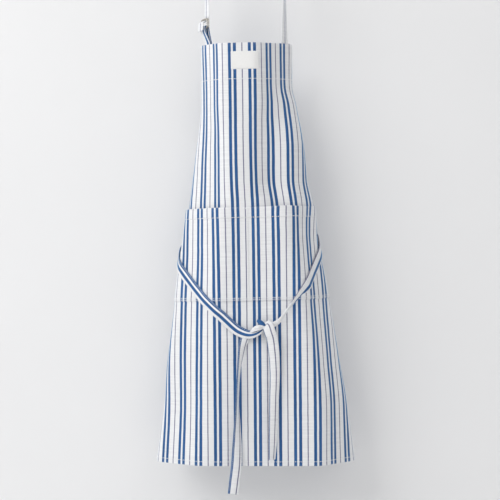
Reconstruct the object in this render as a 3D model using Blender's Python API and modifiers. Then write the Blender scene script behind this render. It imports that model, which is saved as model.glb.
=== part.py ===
"""Striped canvas bib apron, hanging from a peg by its neck strap.

The apron hangs the way it is stored: the neck strap goes over a peg, the sides
fold round to the back, and the waist ties cross behind and are knotted in front.
Left and right are those of someone who faces the apron. Metres, +Z up, the
front faces -Y, and the origin is the underside of the neck strap's crown,
where the peg carries it.
"""
import functools
import math

import bmesh
import bpy
import numpy as np
from mathutils import Vector

# ---- Driving dimensions (metres, degrees) ----
CLOTH = 0.0016           # canvas panel, as a plain solid
STRAP = 0.0020           # folded canvas strap
THREAD = 0.0006          # raised sewing thread
CLEAR = 0.0003           # gap where two pieces touch
STITCH_LIFT = 0.0009     # gap from the cloth to a thread row
STITCH_WIDTH = 0.0010

APRON_LENGTH = 0.864     # top of the bib to the hem
BIB_HALF = 0.130         # half of the bib's flat width
WAIST_HALF = 0.286       # half of the flat width at the waist corners
HEM_HALF = 0.298         # half of the flat width at the hem
ARMHOLE_DEPTH = 0.270    # top of the bib to the waist corners
BIB_TOP_Z = -0.270

BIB_HEM = 0.075
BOTTOM_HEM = 0.010
SIDE_HEM = 0.009

POCKET_TOP = 0.336       # distances below the top of the bib
POCKET_BOTTOM = 0.528
POCKET_HEM = 0.022
POCKET_SHARE = 0.70      # pocket half width as a share of the panel's
POCKET_GAP = 0.0033      # middle of the panel to middle of the pocket at the seams
POCKET_MOUTH = 0.0035    # how much further each half of the mouth bellies out
POCKET_BELLY = 0.150     # each half bellies between the middle and this far out
POCKET_SLACK = 0.075     # the mouth hangs in the section of the cloth this far below

LABEL_WIDTH = 0.0575
LABEL_MIDDLE = 0.0015     # along the cloth from the bib's middle
LABEL_HEIGHT = 0.037
LABEL_TOP = 0.0175
LABEL_THICK = 0.0007

STRAP_WIDTH = 0.022
TAB_WIDTH = 0.0205       # narrower, between the rings' sides
CROWN_RADIUS = 0.080     # inside of the crown, where the peg bears
STRAP_X = CROWN_RADIUS + STRAP / 2
SEWN_LENGTH = 0.034      # strap end sewn behind the bib
LEFT_STRAP_U = 0.0960    # where the straps meet the bib, along the cloth
RIGHT_STRAP_U = 0.1085
LEFT_LEAN = 0.0070       # the rings hang this much further left than the tab's foot

WIRE = 0.00125           # ring wire radius
RING_WIDTH = 0.0275      # ring, between wire centres
RING_HEIGHT = 0.0175
RING_TOP_CORNER = 0.0065
RING_FOOT_CORNER = 0.0020
RING_BAR_Z = -0.2325     # the bars that the tab holds
RING_PITCH = 0.0036      # distance between the two rings
RING_MIDDLE = -0.0036    # both rings, from the bib's plane
RING_TWIST = 62.0        # how far the left strap has turned at the rings
TAIL_OUT = 0.0058        # loose end, from the bib's plane
TAIL_TOP_Z = -0.2275
TAIL_END_Z = -0.2405
TAIL_LEAN = 7.0          # the loose end leans away from the bib

TIE_WIDTH = 0.021
KNOT = Vector((0.036, 0.0, -0.853))
KNOT_SIZE = Vector((0.034, 0.020, 0.030))

# The hanging panel, at distances below the top of the bib. Each side of the
# centre line stays flat up to START, turns back by SLOPE degrees over RISE, is
# side-on at REACH along the cloth, and has turned to the back TURN further on.
STATIONS = (0.0, 0.12, 0.20, 0.28, 0.34, 0.44, 0.55, 0.65, 0.75, 0.864)
LEFT_START = (0.022, 0.022, 0.016, 0.018, 0.024, 0.036, 0.050, 0.058, 0.066, 0.080)
LEFT_SLOPE = (54, 55, 50, 46, 42, 38, 34, 32, 34, 31)
LEFT_REACH = (0.136, 0.140, 0.150, 0.162, 0.168, 0.184, 0.194, 0.206, 0.218, 0.230)
RIGHT_START = (0.004, 0.006, 0.006, 0.004, 0.022, 0.074, 0.092, 0.110, 0.125, 0.120)
RIGHT_SLOPE = (44, 46, 46, 48, 45, 52, 50, 50, 48, 42)
RIGHT_REACH = (0.150, 0.144, 0.152, 0.164, 0.172, 0.196, 0.218, 0.232, 0.246, 0.262)
FRONT_Y = (-0.046, -0.047, -0.047, -0.047, -0.048, -0.047, -0.047, -0.048, -0.048, -0.048)
CENTRE_X = (-0.0032, -0.0012, -0.0005, 0.0012, 0.0040, 0.0058, 0.0072, 0.0082, 0.0092, 0.0100)
RISE, CURL, TURN, BACK = 0.045, 0.034, 0.034, 86.0
# Folds: line along the cloth at the top and at the foot, first and last height,
# half width, and the degrees that they add.
FOLDS = ((0.078, 0.080, 0.10, 0.42, 0.024, -48), (0.020, 0.022, 0.13, 0.37, 0.022, 20))
SECTION_STEP = 0.002
SECTION_HALF = 0.340

LABEL_COLUMNS = 14
PANEL_COLUMNS = 60
ARMHOLE_ROWS = 20
SKIRT_ROWS = 12

COLORS = {
    "canvas_stripe": ((0.80, 0.83, 0.87), 0.85, 0.0),
    "label_twill": ((0.93, 0.91, 0.87), 0.80, 0.0),
    "thread": ((0.95, 0.95, 0.94), 0.70, 0.0),
    "ring_metal": ((0.62, 0.58, 0.52), 0.25, 1.0),
}


# ---- Scene set-up ----
def clear_scene():
    for item in list(bpy.data.objects):
        bpy.data.objects.remove(item, do_unlink=True)


def new_collection(name):
    group = bpy.data.collections.new(name)
    bpy.context.scene.collection.children.link(group)
    return group


def principled(name):
    color, roughness, metallic = COLORS[name]
    material = bpy.data.materials.get(name) or bpy.data.materials.new(name)
    material.use_nodes = True
    material.diffuse_color = (*color, 1.0)
    shader = material.node_tree.nodes["Principled BSDF"]
    shader.inputs["Base Color"].default_value = (*color, 1.0)
    shader.inputs["Roughness"].default_value = roughness
    shader.inputs["Metallic"].default_value = metallic
    return material


def add_object(name, data, material):
    item = bpy.data.objects.new(name, data)
    data.materials.append(principled(material))
    PARTS.objects.link(item)
    return item


# ---- Shapes ----
def sheet(name, place, columns, rows, thickness, material):
    """A grid whose vertices go where place(a, b) says, a and b from 0 to 1."""
    bm = bmesh.new()
    bmesh.ops.create_grid(bm, x_segments=columns, y_segments=rows, size=1.0)
    for vert in bm.verts:
        vert.co = place((vert.co.x + 1) / 2, (vert.co.y + 1) / 2)
    mesh = bpy.data.meshes.new(name)
    bm.to_mesh(mesh)
    bm.free()
    item = add_object(name, mesh, material)
    shell = item.modifiers.new("thickness", "SOLIDIFY")
    shell.thickness = thickness
    shell.offset = 0.0
    return item


def smooth(value):
    value = min(max(value, 0.0), 1.0)
    return value * value * (3 - 2 * value)


def at_height(values, v):
    """Value between the stations, by a smooth curve that never overshoots them."""
    v = min(max(v, STATIONS[0]), STATIONS[-1])
    last = len(STATIONS) - 1
    rises = [(values[k + 1] - values[k]) / (STATIONS[k + 1] - STATIONS[k]) for k in range(last)]
    i = max(k for k in range(last) if STATIONS[k] <= v)
    slopes = []
    for k in (i, i + 1):
        before, after = rises[max(k - 1, 0)], rises[min(k, last - 1)]
        same_way = before * after > 0
        slopes.append(2 * before * after / (before + after) if same_way else 0.0)
    span = STATIONS[i + 1] - STATIONS[i]
    t = (v - STATIONS[i]) / span
    rise = values[i] * (2 * t**3 - 3 * t**2 + 1) + values[i + 1] * (3 * t**2 - 2 * t**3)
    return rise + span * (slopes[0] * (t**3 - 2 * t**2 + t) + slopes[1] * (t**3 - t**2))


def half_width(v):
    """Half of the flat panel's width: a hollow armhole, then a straight side."""
    if v < ARMHOLE_DEPTH:
        return WAIST_HALF - (WAIST_HALF - BIB_HALF) * math.sqrt(1 - (v / ARMHOLE_DEPTH) ** 2)
    share = (v - ARMHOLE_DEPTH) / (APRON_LENGTH - ARMHOLE_DEPTH)
    return WAIST_HALF + (HEM_HALF - WAIST_HALF) * share


def side_angle(d, start, slope, reach):
    """Degrees that the cloth has turned at distance d along it from the centre line."""
    turned = slope * smooth((d - start) / RISE)
    turned += (90 - slope) * smooth((d - reach + CURL) / CURL)
    return turned + BACK * smooth((d - reach) / TURN)


@functools.lru_cache(maxsize=None)
def section(shape):
    """Level section of the cloth: places along it, x, y and angle at each place."""
    count = round(SECTION_HALF / SECTION_STEP)
    left, right = (
        [at_height(values, shape) for values in side]
        for side in ((LEFT_START, LEFT_SLOPE, LEFT_REACH), (RIGHT_START, RIGHT_SLOPE, RIGHT_REACH)))
    along = np.arange(-count, count + 1) * SECTION_STEP
    turned = np.array([side_angle(d, *right) if d > 0 else -side_angle(-d, *left) for d in along])
    for top, foot, first, last, half, degrees in FOLDS:
        t = min(max((shape - first) / (last - first), 0.0), 1.0)
        line = top + (foot - top) * t
        turned += degrees * max(math.sin(math.pi * t), 0.0) ** 0.7 * np.exp(-(((along - line) / half) ** 2))
    angle = np.radians(turned)
    middle = (angle[1:] + angle[:-1]) / 2
    x = np.concatenate([[0.0], np.cumsum(np.cos(middle)) * SECTION_STEP])
    y = np.concatenate([[0.0], np.cumsum(np.sin(middle)) * SECTION_STEP])
    return along, x - x[count], y - y[count], angle


def cloth_point(u, v, lift=0.0, shape=None):
    """Point of the hanging panel: u along the cloth from its centre line, v down
    from the top of the bib, lift outwards from the panel's middle surface. The
    section is the one at v, or at another height given as shape."""
    along, x, y, angle = section(round(v if shape is None else shape, 5))
    turned = float(np.interp(u, along, angle))
    return Vector((at_height(CENTRE_X, v) + float(np.interp(u, along, x)) + lift * math.sin(turned),
                   at_height(FRONT_Y, v) + float(np.interp(u, along, y)) - lift * math.cos(turned),
                   BIB_TOP_Z - v))


def pocket_point(u, v, lift=0.0):
    """Point of the pocket: in front it hangs in its own section, and each half of
    its mouth bellies out; behind it lies on the panel, where it is sewn on."""
    depth = (v - POCKET_TOP) / (POCKET_BOTTOM - POCKET_TOP)
    slack = POCKET_SLACK * (1 - smooth((v - POCKET_TOP) / 0.13))
    belly = math.sin(math.pi * min(abs(u) / POCKET_BELLY, 1.0)) ** 2 * max(1 - depth, 0.0) ** 1.5
    free = cloth_point(u, v, lift + POCKET_GAP + POCKET_MOUTH * belly, v + slack)
    sewn = cloth_point(u, v, lift + POCKET_GAP)
    reach = at_height(LEFT_REACH if u < 0 else RIGHT_REACH, v)
    return free.lerp(sewn, smooth((abs(u) - reach + 0.012) / 0.040))


def outermost_point(u, v, lift=0.0):
    """Point over the panel or, where there is one, over the pocket."""
    share = smooth((v - POCKET_TOP + 0.02) / 0.02) * (1 - smooth((v - POCKET_BOTTOM) / 0.02))
    share *= 1 - smooth((abs(u) - POCKET_SHARE * half_width(v)) / 0.01)
    return cloth_point(u, v, lift).lerp(pocket_point(u, v, lift), share)


def cloth_strip(name, path, width, lift, thickness, material, segments, over=cloth_point, rows=1):
    """A ribbon that lies on the cloth along path(t) = (u, v)."""
    def place(a, b):
        u, v = path(a)
        before, after = path(max(a - 0.01, 0.0)), path(min(a + 0.01, 1.0))
        run = Vector((after[0] - before[0], after[1] - before[1])).normalized()
        across = (b - 0.5) * width
        height = lift(a) if callable(lift) else lift
        return over(u - run.y * across, v + run.x * across, height)
    return sheet(name, place, segments, rows, thickness, material)


# ---- Panel, pocket, label ----
PANEL_ROWS = ARMHOLE_ROWS + SKIRT_ROWS


def panel_row(b):
    """Distance below the top of the bib: close rows along the armhole."""
    row = b * PANEL_ROWS
    if row <= ARMHOLE_ROWS:
        return ARMHOLE_DEPTH * math.sin(row / ARMHOLE_ROWS * math.pi / 2)
    return ARMHOLE_DEPTH + (APRON_LENGTH - ARMHOLE_DEPTH) * (row - ARMHOLE_ROWS) / SKIRT_ROWS


def make_body_panel():
    def place(a, b):
        v = panel_row(b)
        return cloth_point((2 * a - 1) * half_width(v), v)
    sheet("body_panel", place, PANEL_COLUMNS, PANEL_ROWS, CLOTH, "canvas_stripe")


def panel_facet(u, v, lift):
    """Point over the panel's own facets, which its rows of sewing follow."""
    if v < ARMHOLE_DEPTH:
        row = ARMHOLE_ROWS * math.asin(v / ARMHOLE_DEPTH) / (math.pi / 2)
    else:
        row = ARMHOLE_ROWS + SKIRT_ROWS * (v - ARMHOLE_DEPTH) / (APRON_LENGTH - ARMHOLE_DEPTH)
    column = (u / half_width(v) + 1) / 2 * PANEL_COLUMNS
    top, left = min(int(row), PANEL_ROWS - 1), min(int(column), PANEL_COLUMNS - 1)
    corners = []
    for r in (top, top + 1):
        height = panel_row(r / PANEL_ROWS)
        corners.append([cloth_point((2 * c / PANEL_COLUMNS - 1) * half_width(height), height, lift)
                        for c in (left, left + 1)])
    upper, lower = (ends[0].lerp(ends[1], column - left) for ends in corners)
    return upper.lerp(lower, row - top)


def make_pocket_panel():
    def place(a, b):
        v = POCKET_TOP + (POCKET_BOTTOM - POCKET_TOP) * b
        return pocket_point((2 * a - 1) * POCKET_SHARE * half_width(v), v)
    columns = round(PANEL_COLUMNS * POCKET_SHARE)
    sheet("pocket_panel", place, columns, 8, CLOTH, "canvas_stripe")


def make_label():
    lift = CLOTH / 2 + 2 * CLEAR + LABEL_THICK / 2

    def on_label(u, v, lift):
        return cloth_point(LABEL_MIDDLE + u, v, lift)

    def place(a, b):
        return on_label((a - 0.5) * LABEL_WIDTH, LABEL_TOP + b * LABEL_HEIGHT, lift)
    sheet("label", place, LABEL_COLUMNS, 2, LABEL_THICK, "label_twill")

    inset = 0.002
    above = lift + (LABEL_THICK + THREAD) / 2 + CLEAR
    high, low = LABEL_TOP + inset, LABEL_TOP + LABEL_HEIGHT - inset
    for name, v in (("label_stitch_top", high), ("label_stitch_bottom", low)):
        thread_row(name, v, LABEL_WIDTH / 2, above, LABEL_COLUMNS, LABEL_WIDTH / 2 - inset, on_label)


# ---- Thread rows ----
def thread_row(name, v, half, lift, segments, reach=None, over=panel_facet):
    """A row of sewing across the front. With a reach, its points keep to the
    panel's own columns, of which half is the outermost, and it stops at the reach."""
    limit = reach or half

    def place(a, b):
        u = min(max((2 * a - 1) * half, -limit), limit)
        return over(u, v + (b - 0.5) * STITCH_WIDTH, lift)
    sheet(name, place, segments, 1, THREAD, "thread")


def make_panel_rows():
    lift = CLOTH / 2 + STITCH_LIFT + THREAD / 2
    inside = SIDE_HEM + 0.002
    bottom = APRON_LENGTH - BOTTOM_HEM
    thread_row("bib_hem_stitch", BIB_HEM, half_width(BIB_HEM) - inside, lift, PANEL_COLUMNS)
    edge = half_width(bottom)
    thread_row("bottom_hem_stitch", bottom, edge, lift, PANEL_COLUMNS, edge - inside)
    spans = (("armhole", 0, ARMHOLE_ROWS - 2), ("side", ARMHOLE_ROWS + 1, PANEL_ROWS - 1))
    for side, sign in (("left", -1), ("right", 1)):
        for part, first, last in spans:
            def path(a, first=first, last=last, sign=sign):
                v = panel_row((first + (last - first) * a) / PANEL_ROWS)
                return sign * (half_width(v) - SIDE_HEM), v
            cloth_strip(f"{part}_stitch_{side}", path, STITCH_WIDTH, lift, THREAD, "thread",
                        last - first, panel_facet)


def make_pocket_rows():
    lift = CLOTH / 2 + STITCH_LIFT + THREAD / 2
    columns = round(PANEL_COLUMNS * POCKET_SHARE)
    rows = (("pocket_hem_stitch", POCKET_TOP + POCKET_HEM),
            ("pocket_foot_stitch_upper", POCKET_BOTTOM - 0.0065),
            ("pocket_foot_stitch_lower", POCKET_BOTTOM - 0.0030))
    for name, v in rows:
        edge = POCKET_SHARE * half_width(v)
        thread_row(name, v, edge, lift, columns, edge - 0.003, pocket_point)

    start = POCKET_TOP + POCKET_HEM + 0.0015
    length = POCKET_BOTTOM - 0.0085 - start

    def divider(a):
        return 0.0, start + length * a
    cloth_strip("pocket_centre_stitch", divider, STITCH_WIDTH, lift, THREAD, "thread", 8, pocket_point)


# ---- Neck strap ----
def strap_frame(side, z):
    """Middle, width direction and outward normal of a neck strap at height z."""
    if side < 0:
        u, near, far, free = -LEFT_STRAP_U, 54.0, RING_TWIST, RING_BAR_Z + RING_HEIGHT + 0.003
    else:
        u, near, far, free = RIGHT_STRAP_U, 44.0, 56.0, BIB_TOP_Z
    foot = cloth_point(u, 0.0)
    share = smooth((z - free) / (-CROWN_RADIUS - free))
    twist = near + (far - near) * smooth((z - BIB_TOP_Z) / 0.022) + (90.0 - far) * share
    angle = math.radians(twist)
    middle = foot.lerp(Vector((side * STRAP_X, 0.0, 0.0)), share)
    if side < 0:
        lean = LEFT_LEAN * smooth((z - BIB_TOP_Z) / (RING_BAR_Z - BIB_TOP_Z))
        middle.x -= lean * (1 - share)
    width = Vector((side * math.cos(angle), math.sin(angle), 0.0))
    normal = Vector((side * math.sin(angle), -math.cos(angle), 0.0))
    return Vector((middle.x, middle.y, z)), width, normal


def strap_point(side, across, out, z):
    """Point of a neck strap: out is counted from the plane of the bib's edge. Behind
    the bib the strap follows the cloth, and it flattens just above the edge."""
    u = side * (LEFT_STRAP_U if side < 0 else RIGHT_STRAP_U)
    on_cloth = cloth_point(u + side * across, max(BIB_TOP_Z - z, 0.0), out)
    on_cloth.z = z
    middle, width, normal = strap_frame(side, z)
    free = middle + width * across + normal * out
    return on_cloth.lerp(free, smooth((z - BIB_TOP_Z) / 0.012))


def profile_strip(name, side, profile, width, segments):
    """A strap seen edge-on: profile(a) = (out, z) along its length."""
    def place(a, b):
        out, z = profile(a)
        return strap_point(side, (b - 0.5) * width, out, z)
    return sheet(name, place, segments, 2, STRAP, "canvas_stripe")


def along_points(points):
    """A smooth curve through (out, z) points, as profile(a)."""
    places = [Vector(point) for point in points]
    lengths = [0.0]
    for before, after in zip(places, places[1:]):
        lengths.append(lengths[-1] + (after - before).length)

    def profile(a):
        run = a * lengths[-1]
        i = max(k for k in range(len(places) - 1) if lengths[k] <= run + 1e-9)
        t = (run - lengths[i]) / (lengths[i + 1] - lengths[i])
        before = places[max(i - 1, 0)]
        after = places[min(i + 2, len(places) - 1)]
        p, q = places[i], places[i + 1]
        m, n = (q - before) / 2, (after - p) / 2
        place = (p * (2 * t**3 - 3 * t**2 + 1) + q * (3 * t**2 - 2 * t**3)
                 + m * (t**3 - 2 * t**2 + t) + n * (t**3 - t**2))
        return place.x, place.y
    return profile


def make_neck_strap():
    spring = -CROWN_RADIUS

    def crown(a, b):
        angle = math.pi * (0.003 + 0.994 * a)
        return Vector((-STRAP_X * math.cos(angle), (b - 0.5) * STRAP_WIDTH,
                       spring + STRAP_X * math.sin(angle)))
    sheet("neck_strap_crown", crown, 24, 1, STRAP, "canvas_stripe")

    behind = -(CLOTH / 2 + CLEAR + STRAP / 2 + 0.0004)
    out_of_sight = BIB_TOP_Z - SEWN_LENGTH
    seam_z = BIB_TOP_Z + 0.0010
    profile_strip("neck_strap_right_end", 1, lambda a: (behind, out_of_sight + (seam_z - out_of_sight) * a),
                  STRAP_WIDTH, 6)

    def right_run(a):
        z = seam_z + CLEAR + (spring - CLEAR - seam_z - CLEAR) * a
        return behind * (1 - smooth(a)), z
    profile_strip("neck_strap_right_run", 1, right_run, STRAP_WIDTH, 14)

    inner_ring = RING_MIDDLE - RING_PITCH / 2
    outer_ring = RING_MIDDLE + RING_PITCH / 2
    load = inner_ring - WIRE - CLEAR - STRAP / 2 - 0.0003
    ring_top = RING_BAR_Z + RING_HEIGHT
    turn_z = ring_top + 0.0020

    def left_run(a):
        z = turn_z + CLEAR + (spring - CLEAR - turn_z - CLEAR) * a
        return load * (1 - smooth(a)), z
    profile_strip("neck_strap_left_run", -1, left_run, STRAP_WIDTH, 12)

    passing = ring_top - WIRE - 0.0032
    turn = along_points(((load, turn_z), (load, ring_top - 0.0010), (load + 0.0016, passing + 0.0006),
                         (RING_MIDDLE, passing - 0.0004), (outer_ring + 0.0035, passing - 0.0012),
                         (TAIL_OUT - 0.0003, TAIL_TOP_Z + 0.0040), (TAIL_OUT, TAIL_TOP_Z)))
    profile_strip("neck_strap_turn", -1, turn, TAB_WIDTH, 16)

    lean = math.tan(math.radians(TAIL_LEAN))

    def tail(a):
        z = TAIL_TOP_Z - CLEAR + (TAIL_END_Z - TAIL_TOP_Z + CLEAR) * a
        return TAIL_OUT + lean * (TAIL_TOP_Z - z), z
    profile_strip("neck_strap_tail", -1, tail, STRAP_WIDTH, 3)


def make_ring_tab():
    """A short strap folded round both rings' bars and sewn behind the bib."""
    outer = -(CLOTH / 2 + CLEAR + STRAP / 2 + 0.0003)
    inner = outer - STRAP - CLEAR
    low = BIB_TOP_Z - SEWN_LENGTH
    wrap = WIRE + CLEAR + STRAP / 2 + 0.0003
    slant = wrap * math.sqrt(0.5)
    rear, front = RING_MIDDLE - RING_PITCH / 2, RING_MIDDLE + RING_PITCH / 2
    loop = along_points(((inner, low), (inner, BIB_TOP_Z - 0.010), (inner, BIB_TOP_Z + 0.002),
                         (rear - wrap, RING_BAR_Z - 0.010), (rear - wrap, RING_BAR_Z),
                         (rear - slant, RING_BAR_Z + slant), (rear, RING_BAR_Z + wrap),
                         (front, RING_BAR_Z + wrap), (front + slant, RING_BAR_Z + slant),
                         (front + wrap, RING_BAR_Z), (front + wrap, RING_BAR_Z - 0.010),
                         (outer, BIB_TOP_Z + 0.002), (outer, BIB_TOP_Z - 0.010), (outer, low)))
    profile_strip("ring_tab", -1, loop, TAB_WIDTH, 44)


def ring_outline():
    """The ring's wire, seen flat: a straight bar, two sides and a rounder top."""
    half = RING_WIDTH / 2
    corners = ((half, 0.0, RING_FOOT_CORNER, -90), (half, RING_HEIGHT, RING_TOP_CORNER, 0),
               (-half, RING_HEIGHT, RING_TOP_CORNER, 90), (-half, 0.0, RING_FOOT_CORNER, 180))
    points = []
    for x, y, radius, start in corners:
        middle = Vector((x - math.copysign(radius, x), y + (radius if y == 0 else -radius)))
        for step in range(5):
            angle = math.radians(start + 22.5 * step)
            points.append(middle + radius * Vector((math.cos(angle), math.sin(angle))))
    return points


def make_rings():
    middle, width, normal = strap_frame(-1, RING_BAR_Z)
    for name, out in (("ring_inner", -RING_PITCH / 2), ("ring_outer", RING_PITCH / 2)):
        curve = bpy.data.curves.new(name, "CURVE")
        curve.dimensions = "3D"
        curve.bevel_depth = WIRE
        curve.bevel_resolution = 2
        outline = ring_outline()
        spline = curve.splines.new("POLY")
        spline.points.add(len(outline) - 1)
        spline.use_cyclic_u = True
        for point, place in zip(spline.points, outline):
            point.co = (*(width * place.x + Vector((0.0, 0.0, place.y))), 1.0)
        ring = add_object(name, curve, "ring_metal")
        ring.location = middle + normal * (RING_MIDDLE + out)


# ---- Waist ties ----
def make_ties():
    """Each tie starts on one waist corner, crosses the back over the other flap,
    comes round the opposite side and runs down the front to the knot."""
    on_panel = CLOTH / 2 + STITCH_LIFT + THREAD + 2 * CLEAR + STRAP / 2 + 0.0017
    other_flap = 0.0030
    crossing = STRAP + 0.0010
    # route as (u, v), how far above the cloth it starts, and where it comes down
    ties = {
        "tie_left": (((-0.3120, 0.262), (-0.2850, 0.292), (-0.2250, 0.375), (-0.1690, 0.452),
                      (-0.1200, 0.505), (-0.0700, 0.550), (-0.0250, 0.582), (0.0080, 0.5905)),
                     other_flap + crossing, 0.34),
        "tie_right": (((0.3120, 0.262), (0.2850, 0.292), (0.2300, 0.362), (0.1720, 0.440),
                       (0.1350, 0.480), (0.0950, 0.526), (0.0680, 0.556), (0.0490, 0.5745)),
                      other_flap, 0.08),
    }
    for name, (route, extra, down) in ties.items():
        def lift(a, extra=extra, down=down):
            return on_panel + extra * (1 - smooth((a - down) / 0.12))
        cloth_strip(name, along_points(route), TIE_WIDTH, lift, STRAP, "canvas_stripe", 44,
                    outermost_point, rows=3)


def make_knot():
    """One overhand knot, as a soft rounded block."""
    bm = bmesh.new()
    bmesh.ops.create_cube(bm, size=1.0)
    for vert in bm.verts:
        vert.co = Vector((vert.co.x * KNOT_SIZE.x, vert.co.y * KNOT_SIZE.y, vert.co.z * KNOT_SIZE.z))
    mesh = bpy.data.meshes.new("tie_knot")
    bm.to_mesh(mesh)
    bm.free()
    knot = add_object("tie_knot", mesh, "canvas_stripe")
    knot.location = (KNOT.x, front_of_pocket() - KNOT_SIZE.y / 2 - 0.0004, KNOT.z)
    edges = knot.modifiers.new("edges", "BEVEL")
    edges.width = 0.0070
    edges.segments = 3


def front_of_pocket():
    """Depth of the cloth that the knot hangs against."""
    return cloth_point(KNOT.x, BIB_TOP_Z - KNOT.z, CLOTH / 2).y


def make_tie_tails():
    """The two loose ends below the knot, each pivoted at its top."""
    ends = {"tie_left_tail": ((-0.0010, -0.872), (-0.0125, -0.940), (-0.0165, -1.000), (-0.0172, -1.090),
                              (-0.0190, -1.140), (-0.0245, -1.190)),
            "tie_right_tail": ((0.0480, -0.8725), (0.0535, -0.900), (0.0560, -0.960), (0.0575, -1.030),
                               (0.0560, -1.080), (0.0545, -1.120))}
    for name, points in ends.items():
        route = along_points(points)
        top = points[0]

        def place(a, b, route=route, top=top):
            x, z = route(a)
            y = -0.0035 * smooth(a / 0.1)
            return Vector((x + (b - 0.5) * TIE_WIDTH - top[0], y, z - top[1]))
        tail = sheet(name, place, 14, 1, STRAP, "canvas_stripe")
        tail.location = (top[0], front_of_pocket() - 0.0060, top[1])


clear_scene()
PARTS = new_collection("bib_apron")
make_body_panel()
make_pocket_panel()
make_label()
make_panel_rows()
make_pocket_rows()
make_neck_strap()
make_ring_tab()
make_rings()
make_ties()
make_knot()
make_tie_tails()
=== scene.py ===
"""Butcher apron in striped cotton canvas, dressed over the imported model.

The cloth is one hanging sheet whose level sections are integrated from the
angle at which the cloth turns, so its length along every section is its flat
length. The pocket, label, waist ties, hems and sewing all lie on that sheet.
Left and right are those of someone who faces the apron. Metres, +Z up, and the
front faces -Y.
"""

import math

import bpy
import numpy as np
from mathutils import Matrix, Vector, noise


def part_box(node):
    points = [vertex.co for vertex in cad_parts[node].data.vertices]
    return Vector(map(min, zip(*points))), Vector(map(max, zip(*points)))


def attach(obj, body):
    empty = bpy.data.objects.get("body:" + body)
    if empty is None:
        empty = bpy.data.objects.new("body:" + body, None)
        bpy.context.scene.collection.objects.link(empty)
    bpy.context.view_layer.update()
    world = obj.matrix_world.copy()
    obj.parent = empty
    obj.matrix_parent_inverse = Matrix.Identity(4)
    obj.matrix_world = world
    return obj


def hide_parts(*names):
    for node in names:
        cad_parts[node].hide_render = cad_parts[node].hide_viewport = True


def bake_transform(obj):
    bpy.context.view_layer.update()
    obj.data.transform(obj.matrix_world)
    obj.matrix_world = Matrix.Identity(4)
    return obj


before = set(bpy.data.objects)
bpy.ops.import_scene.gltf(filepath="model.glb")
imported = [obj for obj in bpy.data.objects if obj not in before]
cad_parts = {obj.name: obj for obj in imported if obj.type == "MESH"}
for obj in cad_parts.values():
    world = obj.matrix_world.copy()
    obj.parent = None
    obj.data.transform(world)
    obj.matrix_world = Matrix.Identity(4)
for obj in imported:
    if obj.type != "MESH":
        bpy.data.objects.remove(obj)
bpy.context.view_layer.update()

# ---- Places taken from the frame ----
CROWN_LOW, CROWN_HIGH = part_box("neck_strap_crown")
TOP_Z = -.270                       # top edge of the bib

# ---- Cloth and sewing (metres) ----
CANVAS = .0010                      # one thickness of canvas
STRAP = .0022                       # folded and sewn strap
LENGTH = .864
BIB_HALF, WAIST_HALF, HEM_HALF = .130, .286, .298
ARMHOLE = .270                      # top of the bib to the waist corners
BIB_HEM, BOTTOM_HEM, SIDE_HEM = .075, .010, .009
POCKET_TOP, POCKET_BOTTOM, POCKET_HEM = .336, .528, .022
POCKET_SHARE = .70                  # of the panel's width
LABEL_SIZE = (.0575, .037)
LABEL_TOP, LABEL_MIDDLE = .0175, .0015  # down from the bib's top, and right of its middle
TIE_WIDTH, STRAP_WIDTH = .021, .022
EDGE_LINES = np.array([0, .0004, .0009, .0016, .0030])  # close grid lines that round an edge
EDGE_ROUND, EDGE_WEAR = .0014, .002     # how far in from an edge rounding and wear reach

# ---- Hanging shape: one value for each distance below the top of the bib ----
HEIGHTS = (0, .120, .200, .280, .340, .440, .550, .650, .750, .864)
LEFT_START = (.022, .022, .016, .018, .024, .036, .050, .058, .066, .080)
LEFT_SLOPE = (54, 55, 50, 46, 42, 38, 34, 32, 34, 31)
LEFT_REACH = (.136, .140, .149, .159, .164, .179, .189, .201, .213, .226)
RIGHT_START = (.004, .006, .006, .004, .022, .074, .092, .110, .125, .120)
RIGHT_SLOPE = (44, 46, 46, 48, 45, 52, 50, 50, 48, 42)
RIGHT_REACH = (.150, .144, .152, .164, .172, .196, .218, .232, .246, .262)
FRONT_Y = (-.046, -.047, -.047, -.047, -.048, -.047, -.047, -.048, -.048, -.048)
CENTRE_X = (-.0032, -.0012, -.0005, .0012, .0040, .0058, .0072, .0082, .0092, .0100)
RISE, CURL, TURN, BACK = .045, .034, .034, 86
TILT, TILT_FADES = .026, (.45, .86)  # the right side hangs higher, down to the hem
CORNER_PULL = .0055                 # the straps pull the bib's corners up
PULL_START, PULL_SPREAD, PULL_DEPTH = .02, .11, .30     # the pull grows outwards and fades down
CORNER_ROUND = .007                 # radius of the bib's top corners

# Folds: cloth line at its top and foot, first and last height, half width, degrees
FOLDS = (
    (.078, .080, .10, .42, .024, -48),
    (.020, .022, .13, .37, .022, 20),
    (.042, .044, .15, .37, .024, -18),
)
FOLD_FULLNESS, FOLD_SOFTENING = .7, 16
# Crumple: waves per metre across and down, seed, height
CRUMPLES = ((22, 7, 3.1, .0011), (60, 26, 8.7, .00035))
FINE_U, FINE_V = .002, .004
SHEET_HALF, SHEET_MARGIN = .340, .012   # the tables reach this far across, and past top and hem
POCKET_GAP = .0016                  # middle of the panel to middle of the pocket at its seams
POCKET_BELLY, BELLY_SPREAD = .0035, .150    # extra opening of each half of the pocket's mouth
POCKET_SLACK, SLACK_DEPTH = .045, .13   # the mouth hangs in the curve of the cloth this far below
JOIN_START, JOIN_WIDTH = .028, .040     # where the pocket closes on the panel, inside its turn

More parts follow.
